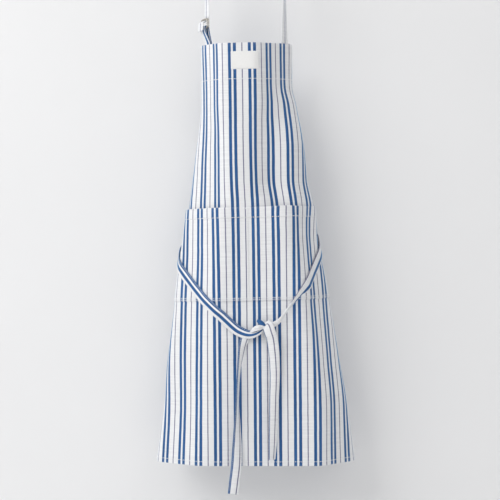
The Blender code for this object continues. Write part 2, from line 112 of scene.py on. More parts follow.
# ---- Woven pattern and finishes ----
STRIPE_REPEAT, STRIPE_PHASE = .0408, .60
PAIR_GAP, PAIR_STRIPE, THIN_STRIPE = .0042, .0063, .0022
WEAVE_PITCH, TWILL_PITCH = .00085, .00075
BLUE_DEEP, BLUE_WORN, BLUE_FLECK = (.010, .050, .160, 1), (.032, .122, .325, 1), (.15, .34, .60, 1)
WHITE_LOW, WHITE_HIGH, WHITE_SLUB = (.745, .750, .762, 1), (.855, .858, .862, 1), (.68, .685, .70, 1)
THIN_DEEP, THIN_PALE = (.10, .10, .19, 1), (.33, .33, .43, 1)
BLOOM = (.36, .68, 1, 1)            # the pale blue that shows on the cloth at a slant
THREAD_LOW, THREAD_HIGH = (.78, .79, .81, 1), (.92, .92, .91, 1)
LABEL_LOW, LABEL_HIGH = (.82, .815, .80, 1), (.90, .895, .885, 1)
LABEL_PICK, LABEL_SOIL = (.78, .77, .745, 1), (.75, .735, .70, 1)
RING_DULL, RING_BRIGHT, RING_STAIN = (.47, .44, .40, 1), (.66, .63, .58, 1), (.30, .25, .18, 1)


# ---- The hanging sheet ----
def eased(x):
    x = np.clip(x, 0, 1)
    return x * x * (3 - 2 * x)


def at_height(values, v):
    """Smooth curve through the values at HEIGHTS that never overshoots them."""
    h, y = np.array(HEIGHTS), np.array(values, float)
    rise = np.diff(y) / np.diff(h)
    slopes = np.zeros(len(h))
    slopes[0], slopes[-1] = rise[0], rise[-1]
    for i in range(1, len(h) - 1):
        if rise[i - 1] * rise[i] > 0:
            slopes[i] = 2 * rise[i - 1] * rise[i] / (rise[i - 1] + rise[i])
    v = np.clip(v, h[0], h[-1])
    i = np.clip(np.searchsorted(h, v, side="right") - 1, 0, len(h) - 2)
    span = h[i + 1] - h[i]
    t = (v - h[i]) / span
    return ((2 * t**3 - 3 * t**2 + 1) * y[i] + (3 * t**2 - 2 * t**3) * y[i + 1]
            + span * ((t**3 - 2 * t**2 + t) * slopes[i] + (t**3 - t**2) * slopes[i + 1]))


def side_angle(d, shape, start, slope, reach):
    """Degrees that the cloth has turned at distance d from its centre line."""
    start, slope, reach = (at_height(values, shape) for values in (start, slope, reach))
    return (slope * eased((d - start) / RISE) + (90 - slope) * eased((d - reach + CURL) / CURL)
            + BACK * eased((d - reach) / TURN))


def half_width(v):
    """Half of the flat panel's width: a hollow armhole, then a straight side."""
    v = np.asarray(v, float)
    hollow = np.sqrt(np.clip(1 - (np.clip(v, 0, ARMHOLE) / ARMHOLE) ** 2, 0, 1))
    side = WAIST_HALF + (HEM_HALF - WAIST_HALF) * np.clip((v - ARMHOLE) / (LENGTH - ARMHOLE), 0, 1)
    return np.where(v < ARMHOLE, WAIST_HALF - (WAIST_HALF - BIB_HALF) * hollow, side)


def softened(table, passes):
    """The same rows, each averaged with its neighbours a few times."""
    table = table.copy()
    for _ in range(passes):
        table[1:-1] = (table[:-2] + 2 * table[1:-1] + table[2:]) / 4
    return table


def crumple(u, v):
    """Small uneven waves that handling leaves in canvas, longer down than across."""
    flat = np.zeros(u.size)
    for across, down, seed, height in CRUMPLES:
        flat += [noise.noise(Vector((a * across, b * down, seed))) * height
                 for a, b in zip(u.ravel(), v.ravel())]
    return flat.reshape(u.shape)


def together(*values):
    return np.broadcast_arrays(*(np.asarray(value, float) for value in values))


class Sheet:
    """A table of the hanging cloth: u along the cloth from its centre line, v down it."""

    def __init__(self, shape_height):
        self.u = np.arange(-SHEET_HALF, SHEET_HALF + .0001, FINE_U)
        self.v = np.arange(-SHEET_MARGIN, LENGTH + SHEET_MARGIN + .0001, FINE_V)
        v, u = np.meshgrid(self.v, self.u, indexing="ij")
        shape = shape_height(v)
        angle = np.where(u > 0, side_angle(u, shape, RIGHT_START, RIGHT_SLOPE, RIGHT_REACH),
                         -side_angle(-u, shape, LEFT_START, LEFT_SLOPE, LEFT_REACH))
        for top, foot, first, last, half, degrees in FOLDS:
            t = np.clip((shape - first) / (last - first), 0, 1)
            line = top + (foot - top) * t
            depth = softened(np.sin(np.pi * t) ** FOLD_FULLNESS, FOLD_SOFTENING)
            angle += degrees * depth * np.exp(-((u - line) / half) ** 2)
        angle = np.radians((angle[:, 1:] + angle[:, :-1]) / 2)
        start = np.zeros((len(self.v), 1))
        x = np.hstack([start, np.cumsum(np.cos(angle), 1) * FINE_U])
        y = np.hstack([start, np.cumsum(np.sin(angle), 1) * FINE_U])
        middle = np.argmin(abs(self.u))
        x += at_height(CENTRE_X, v) - x[:, middle:middle + 1]
        y += at_height(FRONT_Y, v) - y[:, middle:middle + 1]
        pull = CORNER_PULL * eased((abs(u) - PULL_START) / PULL_SPREAD) * (1 - eased(v / PULL_DEPTH))
        first, last = TILT_FADES
        z = TOP_Z - v + pull + TILT * x * (1 - eased((v - first) / (last - first)))
        self.place = np.stack([x, y, z], 2)
        self.place += self.outward() * crumple(u, v)[..., None]
        self.normal = self.outward()

    def outward(self):
        along = np.gradient(self.place, axis=1)
        down = np.gradient(self.place, axis=0)
        normal = np.cross(down, along)
        return normal / np.linalg.norm(normal, axis=2, keepdims=True)

    def at(self, u, v, lift=0.0):
        """Points and outward normals at u, v, moved out from the sheet by lift."""
        u, v, lift = together(u, v, lift)
        i = np.clip((v - self.v[0]) / FINE_V, 0, len(self.v) - 1.001)
        j = np.clip((u - self.u[0]) / FINE_U, 0, len(self.u) - 1.001)
        row, column = i.astype(int), j.astype(int)
        a, b = (i - row)[..., None], (j - column)[..., None]

        def read(table):
            return ((1 - a) * ((1 - b) * table[row, column] + b * table[row, column + 1])
                    + a * ((1 - b) * table[row + 1, column] + b * table[row + 1, column + 1]))
        normal = read(self.normal)
        normal /= np.linalg.norm(normal, axis=-1, keepdims=True)
        return read(self.place) + normal * lift[..., None], normal


PANEL = Sheet(lambda v: v)
POCKET = Sheet(lambda v: v + POCKET_SLACK * (1 - eased((v - POCKET_TOP) / SLACK_DEPTH)))


def pocket_half(v):
    return POCKET_SHARE * half_width(v)


def pocket_at(u, v, lift=0.0):
    """The pocket hangs in its own curve in front and joins the panel at its seams."""
    u, v, lift = together(u, v, lift)
    reach = np.where(u < 0, at_height(LEFT_REACH, v), at_height(RIGHT_REACH, v))
    seam = eased((abs(u) - reach + JOIN_START) / JOIN_WIDTH)
    depth = np.clip((v - POCKET_TOP) / (POCKET_BOTTOM - POCKET_TOP), 0, 1)
    belly = np.sin(np.pi * np.clip(abs(u) / BELLY_SPREAD, 0, 1)) ** 2 * (1 - depth) ** 1.5
    free, free_out = POCKET.at(u, v, lift + POCKET_GAP + POCKET_BELLY * belly)
    sewn, sewn_out = PANEL.at(u, v, lift + POCKET_GAP)
    out = free_out + (sewn_out - free_out) * seam[..., None]
    out /= np.linalg.norm(out, axis=-1, keepdims=True)
    return free + (sewn - free) * seam[..., None], out


def outermost_at(u, v, lift=0.0):
    """The cloth that a tie lies on: the pocket where there is one, the panel elsewhere."""
    on_panel, panel_out = PANEL.at(u, v, lift)
    on_pocket, pocket_out = pocket_at(u, v, lift)
    inside = ((v > POCKET_TOP) & (v < POCKET_BOTTOM) & (abs(u) < pocket_half(v)))[..., None]
    return np.where(inside, on_pocket, on_panel), np.where(inside, pocket_out, panel_out)


# ---- Node materials ----
class Nodes:
    """Short forms for the nodes that the materials share."""

    def __init__(self, name):
        self.material = bpy.data.materials.new(name)
        self.material.use_nodes = True
        self.tree = self.material.node_tree
        self.shader = self.tree.nodes["Principled BSDF"]

    def add(self, kind, inputs=(), **settings):
        node = self.tree.nodes.new("ShaderNode" + kind)
        for key, value in settings.items():
            setattr(node, key, value)
        for key, value in dict(inputs).items():
            self.feed(node.inputs[key], value)
        return node

    def feed(self, socket, value):
        if isinstance(value, bpy.types.NodeSocket):
            self.tree.links.new(value, socket)
        else:
            socket.default_value = value

    def math(self, operation, *values):
        return self.add("Math", dict(enumerate(values)), operation=operation).outputs[0]

    def band(self, value, low, high, soft):
        """1 between low and high, with soft edges."""
        rise = self.ramp(value, low - soft, low + soft)
        fall = self.ramp(value, high - soft, high + soft)
        return self.math("SUBTRACT", rise, fall)

    def ramp(self, value, low, high, bottom=0.0, top=1.0):
        node = self.add("MapRange", {0: value, 1: low, 2: high, 3: bottom, 4: top})
        return node.outputs[0]

    def mix(self, share, first, second, blend="MIX"):
        node = self.add("Mix", data_type="RGBA", blend_type=blend)
        for socket, value in ((0, share), (6, first), (7, second)):
            self.feed(node.inputs[socket], value)
        return node.outputs[2]

    def noise(self, place, scale, detail=2.0):
        return self.add("TexNoise", {"Vector": place, "Scale": scale, "Detail": detail}).outputs[0]

    def vector(self, x, y):
        return self.add("CombineXYZ", {0: x, 1: y}).outputs[0]

    def streaks(self, u, v, across, down, detail=2.0):
        """Noise of this many features per metre across and down the cloth."""
        place = self.vector(self.math("MULTIPLY", u, across), self.math("MULTIPLY", v, down))
        return self.noise(place, 1.0, detail)

    def bump(self, relief, strength, distance):
        node = self.add("Bump", {"Height": relief, "Strength": strength, "Distance": distance})
        return node.outputs[0]

    def shaded(self, values):
        """The material, with these values set on its shader or wired to it."""
        for name, value in values.items():
            self.feed(self.shader.inputs[name], value)
        return self.material


def cloth_coordinates(n):
    flat = n.add("UVMap", uv_map="cloth").outputs[0]
    parts = n.add("SeparateXYZ", {0: flat})
    return parts.outputs[0], parts.outputs[1]


def weave(n, u, v):
    """Height of a plain weave, and how far the warp is on top, 0 to 1."""
    drift = n.math("MULTIPLY", n.streaks(u, v, 90, 90), .25)
    turns = [n.math("ADD", n.math("DIVIDE", along, WEAVE_PITCH), drift) for along in (u, v)]
    across, down = (n.math("SINE", n.math("MULTIPLY", turn, 2 * math.pi)) for turn in turns)
    warp_up = n.math("MULTIPLY_ADD", n.math("MULTIPLY", across, down), .5, .5)
    ridges = n.math("ABSOLUTE", n.math("ADD", across, down))
    return n.math("MULTIPLY_ADD", ridges, .35, n.math("MULTIPLY", warp_up, .3)), warp_up


def canvas_material():
    n = Nodes("canvas_stripe_cloth")
    u, v = cloth_coordinates(n)
    threads, picks = n.streaks(u, v, 900, 9), n.streaks(u, v, 14, 800)
    waver = n.streaks(u, v, 40, 55, 1.0)
    patch = n.streaks(u, v, 12, 5, 3.0)
    height, warp_up = weave(n, u, v)

    # Distance from the middle of the nearest pair of blue stripes
    place = n.math("ADD", u, n.math("MULTIPLY_ADD", waver, .0006, -.0003))
    turns = n.math("ADD", n.math("DIVIDE", place, STRIPE_REPEAT), STRIPE_PHASE)
    off = n.math("ABSOLUTE", n.math("SUBTRACT", turns, n.math("ROUND", turns)))
    off = n.math("MULTIPLY", off, STRIPE_REPEAT)
    blue = n.band(off, PAIR_GAP / 2, PAIR_GAP / 2 + PAIR_STRIPE, .00022)
    edge = STRIPE_REPEAT / 2 - THIN_STRIPE / 2
    thin = n.ramp(off, edge - .0002, edge + .0002)

    dyed = n.mix(n.ramp(threads, .3, .7), BLUE_DEEP, BLUE_WORN)
    dyed = n.mix(n.ramp(patch, .35, .75, 0, .35), dyed, BLUE_WORN)
    fleck = n.math("MULTIPLY", n.ramp(warp_up, .25, .02, 0, 1), n.ramp(picks, .35, .65, .10, .60))
    dyed = n.mix(fleck, dyed, BLUE_FLECK)
    plain = n.mix(n.ramp(picks, .3, .7), WHITE_LOW, WHITE_HIGH)
    plain = n.mix(n.ramp(threads, .62, .80, 0, .25), plain, WHITE_SLUB)
    grey = n.mix(n.ramp(picks, .4, .6, .15, .55), THIN_DEEP, THIN_PALE)
    colour = n.mix(thin, n.mix(blue, plain, dyed), grey)
    worn = n.add("Attribute", attribute_name="wear").outputs["Fac"]
    rub = n.math("MULTIPLY", worn, n.ramp(n.noise(n.vector(u, v), 240, 3), .35, .7, .05, .55))
    colour = n.mix(n.math("MULTIPLY", rub, .45), colour, WHITE_LOW)
    fuzz = n.math("MULTIPLY_ADD", threads, .45, n.math("MULTIPLY", picks, .45))
    return n.shaded({
        "Base Color": colour, "Roughness": n.ramp(n.math("ADD", threads, picks), .6, 1.4, .78, .94),
        "Normal": n.bump(n.math("ADD", height, fuzz), .55, .00016), "Specular IOR Level": .28,
        "Sheen Weight": n.math("MULTIPLY_ADD", blue, .85, .20), "Sheen Roughness": .42, "Sheen Tint": BLOOM})


def thread_material():
    n = Nodes("sewing_thread")
    u, v = cloth_coordinates(n)
    ply = n.math("SINE", n.math("MULTIPLY_ADD", v, 5200, n.math("MULTIPLY", u, 3600)))
    return n.shaded({
        "Base Color": n.mix(n.ramp(ply, -1, 1), THREAD_LOW, THREAD_HIGH), "Sheen Weight": .2,
        "Roughness": n.ramp(ply, -1, 1, .50, .70), "Normal": n.bump(ply, .5, .00008)})


def label_material():
    n = Nodes("label_twill")
    u, v = cloth_coordinates(n)
    slant = n.math("ADD", u, n.math("MULTIPLY", v, .55))
    twill = n.math("SINE", n.math("MULTIPLY", slant, 2 * math.pi / TWILL_PITCH))
    picks = n.streaks(u, v, 60, 1500)
    soil = n.noise(n.vector(u, v), 55, 3)
    colour = n.mix(n.ramp(twill, -1, 1, 0, .5), LABEL_LOW, LABEL_HIGH)
    colour = n.mix(n.ramp(picks, .35, .7, 0, .35), colour, LABEL_PICK)
    colour = n.mix(n.ramp(soil, .55, .8, 0, .25), colour, LABEL_SOIL)
    return n.shaded({
        "Base Color": colour, "Roughness": n.ramp(picks, .3, .7, .62, .80), "Sheen Weight": .15,
        "Normal": n.bump(n.math("MULTIPLY_ADD", twill, .5, picks), .5, .00010)})


def ring_material():
    n = Nodes("ring_metal_worn")
    place = n.add("TexCoord").outputs["Object"]
    scratch = n.noise(n.add("Mapping", {"Vector": place, "Scale": (2600, 2600, 380)}).outputs[0], 1.0, 3.0)
    cloud = n.noise(place, 260, 4)
    colour = n.mix(n.ramp(cloud, .35, .7), RING_DULL, RING_BRIGHT)
    colour = n.mix(n.ramp(cloud, .62, .75, 0, .55), colour, RING_STAIN)
    return n.shaded({
        "Base Color": colour, "Metallic": 1.0, "Normal": n.bump(scratch, .25, .00006),
        "Roughness": n.ramp(n.math("ADD", scratch, cloud), .7, 1.3, .20, .44)})


# The finish of each of the record's material slots
FINISHES = {"canvas_stripe": canvas_material(), "thread": thread_material(), "label_twill": label_material(),
            "ring_metal": ring_material()}


# ---- Meshes ----
def linked(name, data):
    item = bpy.data.objects.new(name, data)
    bpy.context.scene.collection.objects.link(item)
    return item


def piece(name, points, faces, uv, slot_name, wear=None):
    """A mesh piece; uv gives each vertex its place on the flat cloth, in metres."""
    mesh = bpy.data.meshes.new(name)
    mesh.from_pydata([tuple(p) for p in points], [], faces)
    layer = mesh.uv_layers.new(name="cloth")
    corner = np.empty(len(mesh.loops), int)
    mesh.loops.foreach_get("vertex_index", corner)
    layer.data.foreach_set("uv", np.asarray(uv, float)[corner].ravel())
    if wear is not None:
        rubbed = mesh.attributes.new("wear", "FLOAT", "POINT")
        rubbed.data.foreach_set("value", np.asarray(wear, float).ravel())
    mesh.polygons.foreach_set("use_smooth", [True] * len(mesh.polygons))
    mesh.materials.append(FINISHES[slot_name])
    mesh.update()
    item = linked(name, mesh)
    return item


def shell(front, back, u, v):
    """Points, faces and flat places of a closed sheet from its two faces."""
    rows, columns = u.shape
    points = np.vstack([front.reshape(-1, 3), back.reshape(-1, 3)])
    here = np.arange(rows * columns).reshape(rows, columns)
    quads = np.stack([here[:-1, :-1], here[1:, :-1], here[1:, 1:], here[:-1, 1:]], -1).reshape(-1, 4)
    far = rows * columns
    rim = np.concatenate([here[0, :], here[1:, -1], here[-1, -2::-1], here[-2:0:-1, 0]])
    after = np.roll(rim, -1)
    sides = np.stack([rim, after, after + far, rim + far], -1)
    faces = np.vstack([quads, quads[:, ::-1] + far, sides])
    flat = np.stack([u, v], -1).reshape(-1, 2)
    return points, faces.tolist(), np.vstack([flat, flat])


def sheet_piece(name, place, u, v, front_lift, back_lift, edge, slot_name="canvas_stripe"):
    """A closed sheet on place(u, v, lift), rounded off within its edge distance."""
    nose = np.sqrt(np.clip(edge / EDGE_ROUND, .02, 1))
    front, _ = place(u, v, front_lift * nose)
    back, _ = place(u, v, back_lift * nose)
    wear = np.exp(-edge / EDGE_WEAR).ravel()
    return piece(name, *shell(front, back, u, v), slot_name, np.concatenate([wear, wear]))


def grid_lines(first, last, count, *extra):
    """Even grid lines with close ones at both ends, plus any others asked for."""
    lines = np.concatenate([np.linspace(first, last, count), first + EDGE_LINES, last - EDGE_LINES, extra])
    return np.unique(np.round(lines, 6))


def make_panel():
    arm = ARMHOLE * np.sin(np.linspace(0, 1, 46) * math.pi / 2)
    folds = (BIB_HEM - .0003, BIB_HEM + .0003, LENGTH - BOTTOM_HEM - .0003, LENGTH - BOTTOM_HEM + .0003)
    v = np.concatenate([grid_lines(0, LENGTH, 12, *folds), arm, np.linspace(ARMHOLE, LENGTH, 150)])
    v = np.unique(np.round(v, 5))
    inner = SIDE_HEM + .0003
    edge = np.array([0, .0004, .0009, .0016, .0040, SIDE_HEM - .0003])
    half = half_width(v)[:, None]
    u = np.hstack([edge - half, np.linspace(-1, 1, 185) * (half - inner), (half - edge)[:, ::-1]])
    v = np.repeat(v[:, None], u.shape[1], 1)
    from_side = half_width(v) - abs(u)
    hem = (from_side < SIDE_HEM) | (v < BIB_HEM) | (v > LENGTH - BOTTOM_HEM)
    edge = np.minimum.reduce([from_side, v, LENGTH - v])
    into = np.clip(1 - from_side / CORNER_ROUND, 0, 1)
    v = v + CORNER_ROUND * (1 - np.sqrt(1 - into * into)) * (1 - eased(v / (3 * CORNER_ROUND)))
    return sheet_piece("apron_panel", PANEL.at, u, v, CANVAS / 2, -CANVAS * (.5 + 1.1 * hem), edge)


def make_pocket():
    fold = POCKET_TOP + POCKET_HEM
    v = grid_lines(POCKET_TOP, POCKET_BOTTOM, 60, fold - .0003, fold + .0003)
    half = pocket_half(v)[:, None]
    u = np.hstack([EDGE_LINES - half, np.linspace(-1, 1, 161) * (half - .004), (half - EDGE_LINES)[:, ::-1]])
    v = np.repeat(v[:, None], u.shape[1], 1)
    hem = v < fold
    edge = np.minimum.reduce([pocket_half(v) - abs(u), v - POCKET_TOP, POCKET_BOTTOM - v])
    return sheet_piece("patch_pocket", pocket_at, u, v, CANVAS * (.5 + .6 * hem), -CANVAS * .5, edge)


def make_label():
    width, height = LABEL_SIZE
    u = grid_lines(LABEL_MIDDLE - width / 2, LABEL_MIDDLE + width / 2, 40)
    v = grid_lines(LABEL_TOP, LABEL_TOP + height, 28)
    u, v = np.meshgrid(u, v)
    edge = np.minimum.reduce([width / 2 - abs(u - LABEL_MIDDLE), v - LABEL_TOP, LABEL_TOP + height - v])
    puff = .0004 * np.sqrt(np.clip(edge / .006, 0, 1))
    base = CANVAS / 2 + .0001
    return sheet_piece("sewn_label", PANEL.at, u, v, base + .0008 + puff, base + 0 * u, edge,
                       "label_twill")


# ---- Sewing ----
STITCH_RINGS = ((0, -.9), (.12, .15), (.3, .75), (.5, .95), (.7, .75), (.88, .15), (1, -.9))


def stitches(name, rows, body, nodes=(), length=.0031, gap=.0008, radius=.00066):
    """Separate raised stitches along each row, a pair of points and normals arrays."""
    points, faces, uv = [], [], []
    sides, last = 5, len(STITCH_RINGS) - 1
    for path, out in rows:
        steps = np.linalg.norm(np.diff(path, axis=0), axis=1)
        run = np.concatenate([[0], np.cumsum(steps)])
        count = int((run[-1] - length) // (length + gap))
        if count < 1:
            continue
        pitch = (run[-1] - length) / count
        for k in range(count + 1):
            base = len(points)
            rings = []
            for share, rise in STITCH_RINGS:
                at = k * pitch + share * length
                middle = np.array([np.interp(at, run, path[:, c]) for c in range(3)])
                normal = np.array([np.interp(at, run, out[:, c]) for c in range(3)])
                rings.append((middle + normal * radius * rise, normal, at))
            along = rings[-1][0] - rings[0][0]
            along /= np.linalg.norm(along)
            for (middle, normal, at), (share, _) in zip(rings, STITCH_RINGS):
                across = np.cross(along, normal)
                across /= np.linalg.norm(across)
                size = radius * (.55 + .45 * math.sin(math.pi * share))
                for s in range(sides):
                    turn = 2 * math.pi * s / sides
                    points.append(middle + size * (math.cos(turn) * across + math.sin(turn) * normal))
                    uv.append((s * radius, at))
            for r in range(last):
                for s in range(sides):
                    a, b = base + r * sides + s, base + r * sides + (s + 1) % sides
                    faces.append((a, b, b + sides, a + sides))
            faces.append(tuple(base + s for s in reversed(range(sides))))
            faces.append(tuple(base + last * sides + s for s in range(sides)))
    return settled(piece(name, points, faces, uv, "thread"), body, nodes)


def sewn_row(place, u, v, lift, count=160):
    """Dense points and normals of a sewing row; u and v are numbers or ends (first, last)."""
    share = np.linspace(0, 1, count)
    u, v = (np.interp(share, (0, 1), np.broadcast_to(end, 2)) for end in (u, v))
    return place(u, v, lift)


def side_row(sign, first, last, count=260):
    """A row that keeps the side hem's distance from the panel's curved edge."""
    v = np.linspace(first, last, count)
    return PANEL.at(sign * (half_width(v) - SIDE_HEM + .0012), v, CANVAS / 2)


def make_sewing():
    """Every row of stitches on the panel, the pocket and the label."""
    face, hem = CANVAS / 2, CANVAS * 1.1
    fold = POCKET_TOP + POCKET_HEM

    def sew(name, rows, node=None, **size):
        stitches(name, rows, "apron", [node] if node else (), **size)

    def across(place, half, v, lift, count=160):
        return [sewn_row(place, (-half, half), v, lift, count)]

    bottom = LENGTH - BOTTOM_HEM + .001
    sew("bib_hem_seam", across(PANEL.at, half_width(BIB_HEM) - .002, BIB_HEM - .0012, face),
        "bib_hem_stitch")
    sew("bottom_hem_seam", across(PANEL.at, half_width(bottom) - .002, bottom, face, 400),
        "bottom_hem_stitch")
    for side, sign in (("left", -1), ("right", 1)):
        for part, first, last in (("armhole", .001, ARMHOLE - .0015),
                                  ("side", ARMHOLE + .0015, LENGTH - .002)):
            sew(f"{part}_{side}_seam", [side_row(sign, first, last)], f"{part}_stitch_{side}")

    for name, v, lift, node in (("hem_seam", fold - .0012, hem, "hem_stitch"),
                                ("foot_seam_upper", POCKET_BOTTOM - .0065, face, "foot_stitch_upper"),
                                ("foot_seam_lower", POCKET_BOTTOM - .0030, face, "foot_stitch_lower")):
        sew("pocket_" + name, across(pocket_at, pocket_half(v) - .003, v, lift), "pocket_" + node)
    v = np.linspace(POCKET_TOP + .002, POCKET_BOTTOM - .003, 160)
    sew("pocket_side_seams", [pocket_at(sign * (pocket_half(v) - inset), v, np.where(v < fold, hem, face))
                              for sign in (-1, 1) for inset in (.0030, .0065)])
    v = np.linspace(POCKET_TOP + .003, POCKET_BOTTOM - .0075, 160)
    sew("pocket_divider_seam", [pocket_at(0 * v + shift, v, np.where(v < fold, hem, face))
                                for shift in (-.0008, .0008)], "pocket_centre_stitch")
    sew("pocket_bartack", [sewn_row(pocket_at, (-.0040, .0040), POCKET_TOP + .0016 + k * .00055, hem, 12)
                           for k in range(6)], length=.0037, gap=.0002, radius=.0004)

    width, height = LABEL_SIZE
    half, over = width / 2 - .0018, face + .0012
    fine = {"length": .0021, "gap": .0007, "radius": .00024}
    for name, v in (("top", LABEL_TOP + .0018), ("bottom", LABEL_TOP + height - .0018)):
        row = sewn_row(PANEL.at, (LABEL_MIDDLE - half, LABEL_MIDDLE + half), v, over)
        sew(f"label_seam_{name}", [row], f"label_stitch_{name}", **fine)
    v = (LABEL_TOP + .0024, LABEL_TOP + height - .0024)
    sew("label_seam_sides", [sewn_row(PANEL.at, LABEL_MIDDLE + sign * half, v, over) for sign in (-1, 1)], **fine)


# ---- Straps and ties ----
# Half of a sewn strap's outline: place across, from -1 to 1, and share of the thickness.
STRAP_FACE = ((-1, 0), (-.985, .45), (-.93, .80), (-.87, .92), (-.80, .66), (-.72, .92), (-.40, 1), (0, 1.02),
              (.40, 1), (.72, .92), (.80, .66), (.87, .92), (.93, .80), (.985, .45), (1, 0))
STRAP_SEAM = .80
SEAM_SINK = .36                     # share of the thickness at which the seam's stitches sit
FINE_STITCH = .00032                # radius of the thread on straps and ties


def smooth_path(points, count):
    """Even points on a smooth curve through the given ones; extra columns ride along."""
    points = np.array(points, float)
    ghost = np.vstack([2 * points[0] - points[1], points, 2 * points[-1] - points[-2]])
    t = np.linspace(0, 1, 24, endpoint=False)[:, None]
    parts = []
    for i in range(1, len(ghost) - 2):
        p, q = ghost[i], ghost[i + 1]
        m, n = (q - ghost[i - 1]) / 2, (ghost[i + 2] - p) / 2
        parts.append(p * (2 * t**3 - 3 * t**2 + 1) + q * (3 * t**2 - 2 * t**3)
                     + m * (t**3 - 2 * t**2 + t) + n * (t**3 - t**2))
    dense = np.vstack(parts + [points[-1:]])
    step = np.linalg.norm(np.diff(dense[:, :3], axis=0), axis=1)
    run = np.concatenate([[0], np.cumsum(step)])
    even = np.linspace(0, run[-1], count)
    return np.stack([np.interp(even, run, dense[:, c]) for c in range(dense.shape[1])], 1)


def unit(rows):
    return rows / np.linalg.norm(rows, axis=-1, keepdims=True)


class Ribbon:
    """A folded strap along a path, with the outward normal of its face at each point.
    Turn is in degrees about the path, and bow lifts the middle over the edges."""

    def __init__(self, path, out, fabric, width=TIE_WIDTH, turn=0.0, bow=0.0, thickness=STRAP, flip=1,
                 span=TIE_WIDTH):
        self.path, self.thickness = path, thickness
        self.fabric, self.span, self.width, self.bow = (
            np.broadcast_to(value, len(path)).astype(float) for value in (fabric, span, width, bow))
        along = unit(np.gradient(path, axis=0))
        out = unit(out - (out * along).sum(1, keepdims=True) * along)
        across = np.cross(along, out) * flip
        turn = np.radians(np.broadcast_to(turn, len(path)))[:, None]
        self.out = out * np.cos(turn) + across * np.sin(turn)
        self.across = across * np.cos(turn) - out * np.sin(turn)
        self.flip = flip
        self.run = np.concatenate([[0], np.cumsum(np.linalg.norm(np.diff(path, axis=0), axis=1))])

    def at(self, share, rise):
        """Points at a share of the half width and rise above the middle."""
        rise = rise + self.bow * (1 - share * share)
        return (self.path + self.across * (share * self.width / 2)[:, None]
                + self.out * np.broadcast_to(rise, len(self.path))[:, None])

    def mesh(self, name, body, nodes=(), crease=.0003):
        face = np.array(STRAP_FACE)
        ring = np.vstack([face, face[-2:0:-1] * (1, -1)])
        count, sides = len(self.path), len(ring)
        close = np.minimum(self.run, self.run[-1] - self.run)
        nose = np.sqrt(np.clip(close / .0012, .05, 1)) * self.thickness / 2
        points, uv, wear = [], [], []
        for share, rise in ring:
            ripple = np.array([noise.noise(Vector((share * 1.3, run * 34, self.path[0][0] * 90)))
                               for run in self.run])
            points.append(self.at(share, nose * rise + ripple * crease))
            uv.append(np.stack([self.fabric + share * self.span / 2, self.run], 1))
            wear.append(np.full(count, .9 if abs(share) > .9 else 0.0))
        points = np.stack(points, 1).reshape(-1, 3)
        uv = np.stack(uv, 1).reshape(-1, 2)
        here = np.arange(count * sides).reshape(count, sides)
        after = np.roll(here, -1, axis=1)
        faces = np.stack([here[:-1], after[:-1], after[1:], here[1:]], -1).reshape(-1, 4).tolist()
        faces += [here[0, ::-1].tolist(), here[-1].tolist()]
        if self.flip < 0:
            faces = [list(reversed(face)) for face in faces]
        wear = np.stack(wear, 1).ravel()
        return settled(piece(name, points, faces, uv, "canvas_stripe", wear), body, nodes)

    def seams(self, first=0.0, last=1.0, shares=(-STRAP_SEAM, STRAP_SEAM), sides=(1,)):
        """Rows of sewing along both edges, on the faces asked for."""
        keep = (self.run >= first * self.run[-1]) & (self.run <= last * self.run[-1])
        return [(self.at(share, side * self.thickness * SEAM_SINK)[keep], self.out[keep] * side)
                for share in shares for side in sides]


def settled(item, body, nodes=()):
    """Parents a piece to the body it rides on, or keeps its world place where it lies between two, and hides the
    nodes it takes over.
    """
    if nodes:
        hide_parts(*nodes)
    if isinstance(body, str):
        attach(item, body)
    else:
        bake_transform(item)
    return item


# ---- Neck strap ----
CROWN_X = (CROWN_HIGH[0] - CROWN_LOW[0]) / 2 - STRAP / 2      # middle of the strap, from the loop's middle
SPRING_Z = -.080                    # the crown's arc starts here on both sides
LEFT_U, RIGHT_U = .0960, .1085      # where the straps meet the bib, along the cloth
LEFT_LEAN = .0070                   # the rings hang this much further left than the tab's foot
BAR_Z, RING_W, RING_H = -.2325, .0275, .0175
RING_MIDDLE, RING_PITCH, WIRE = -.0036, .0036, .00125
SEWN_LENGTH = .034                  # of strap and tab, behind the bib
BEHIND = -(CANVAS * 1.6 + STRAP / 2 + .0003)    # middle of a strap behind the bib's hem
TAIL_OUT, TAIL_TOP_Z, TAIL_END_Z, TAIL_LEAN = .0058, -.2275, -.2405, math.tan(math.radians(7))
STRAP_FABRIC, TAB_FABRIC = .0374, .0235
LOAD_OUT = RING_MIDDLE - RING_PITCH / 2 - WIRE - STRAP / 2 - .0004


def strap_frame(side, z):
    """Middle, width direction and outward normal of a hanging neck strap at heights z."""
    u, near, far, free = ((-LEFT_U, 54, 62, BAR_Z + RING_H + .003) if side < 0
                          else (RIGHT_U, 44, 56, TOP_Z))
    foot = PANEL.at(u, 0)[0]
    share = eased((z - free) / (SPRING_Z - free))
    angle = np.radians(near + (far - near) * eased((z - TOP_Z) / .022) + (90 - far) * share)
    crown = np.array((side * CROWN_X, 0, 0))
    middle = foot + (crown - foot) * share[:, None]
    if side < 0:
        middle[:, 0] -= LEFT_LEAN * eased((z - TOP_Z) / (BAR_Z - TOP_Z)) * (1 - share)
    middle[:, 2] = z
    flat = 0 * angle
    width = np.stack([side * np.cos(angle), np.sin(angle), flat], 1)
    normal = np.stack([side * np.sin(angle), -np.cos(angle), flat], 1)
    return middle, width, normal


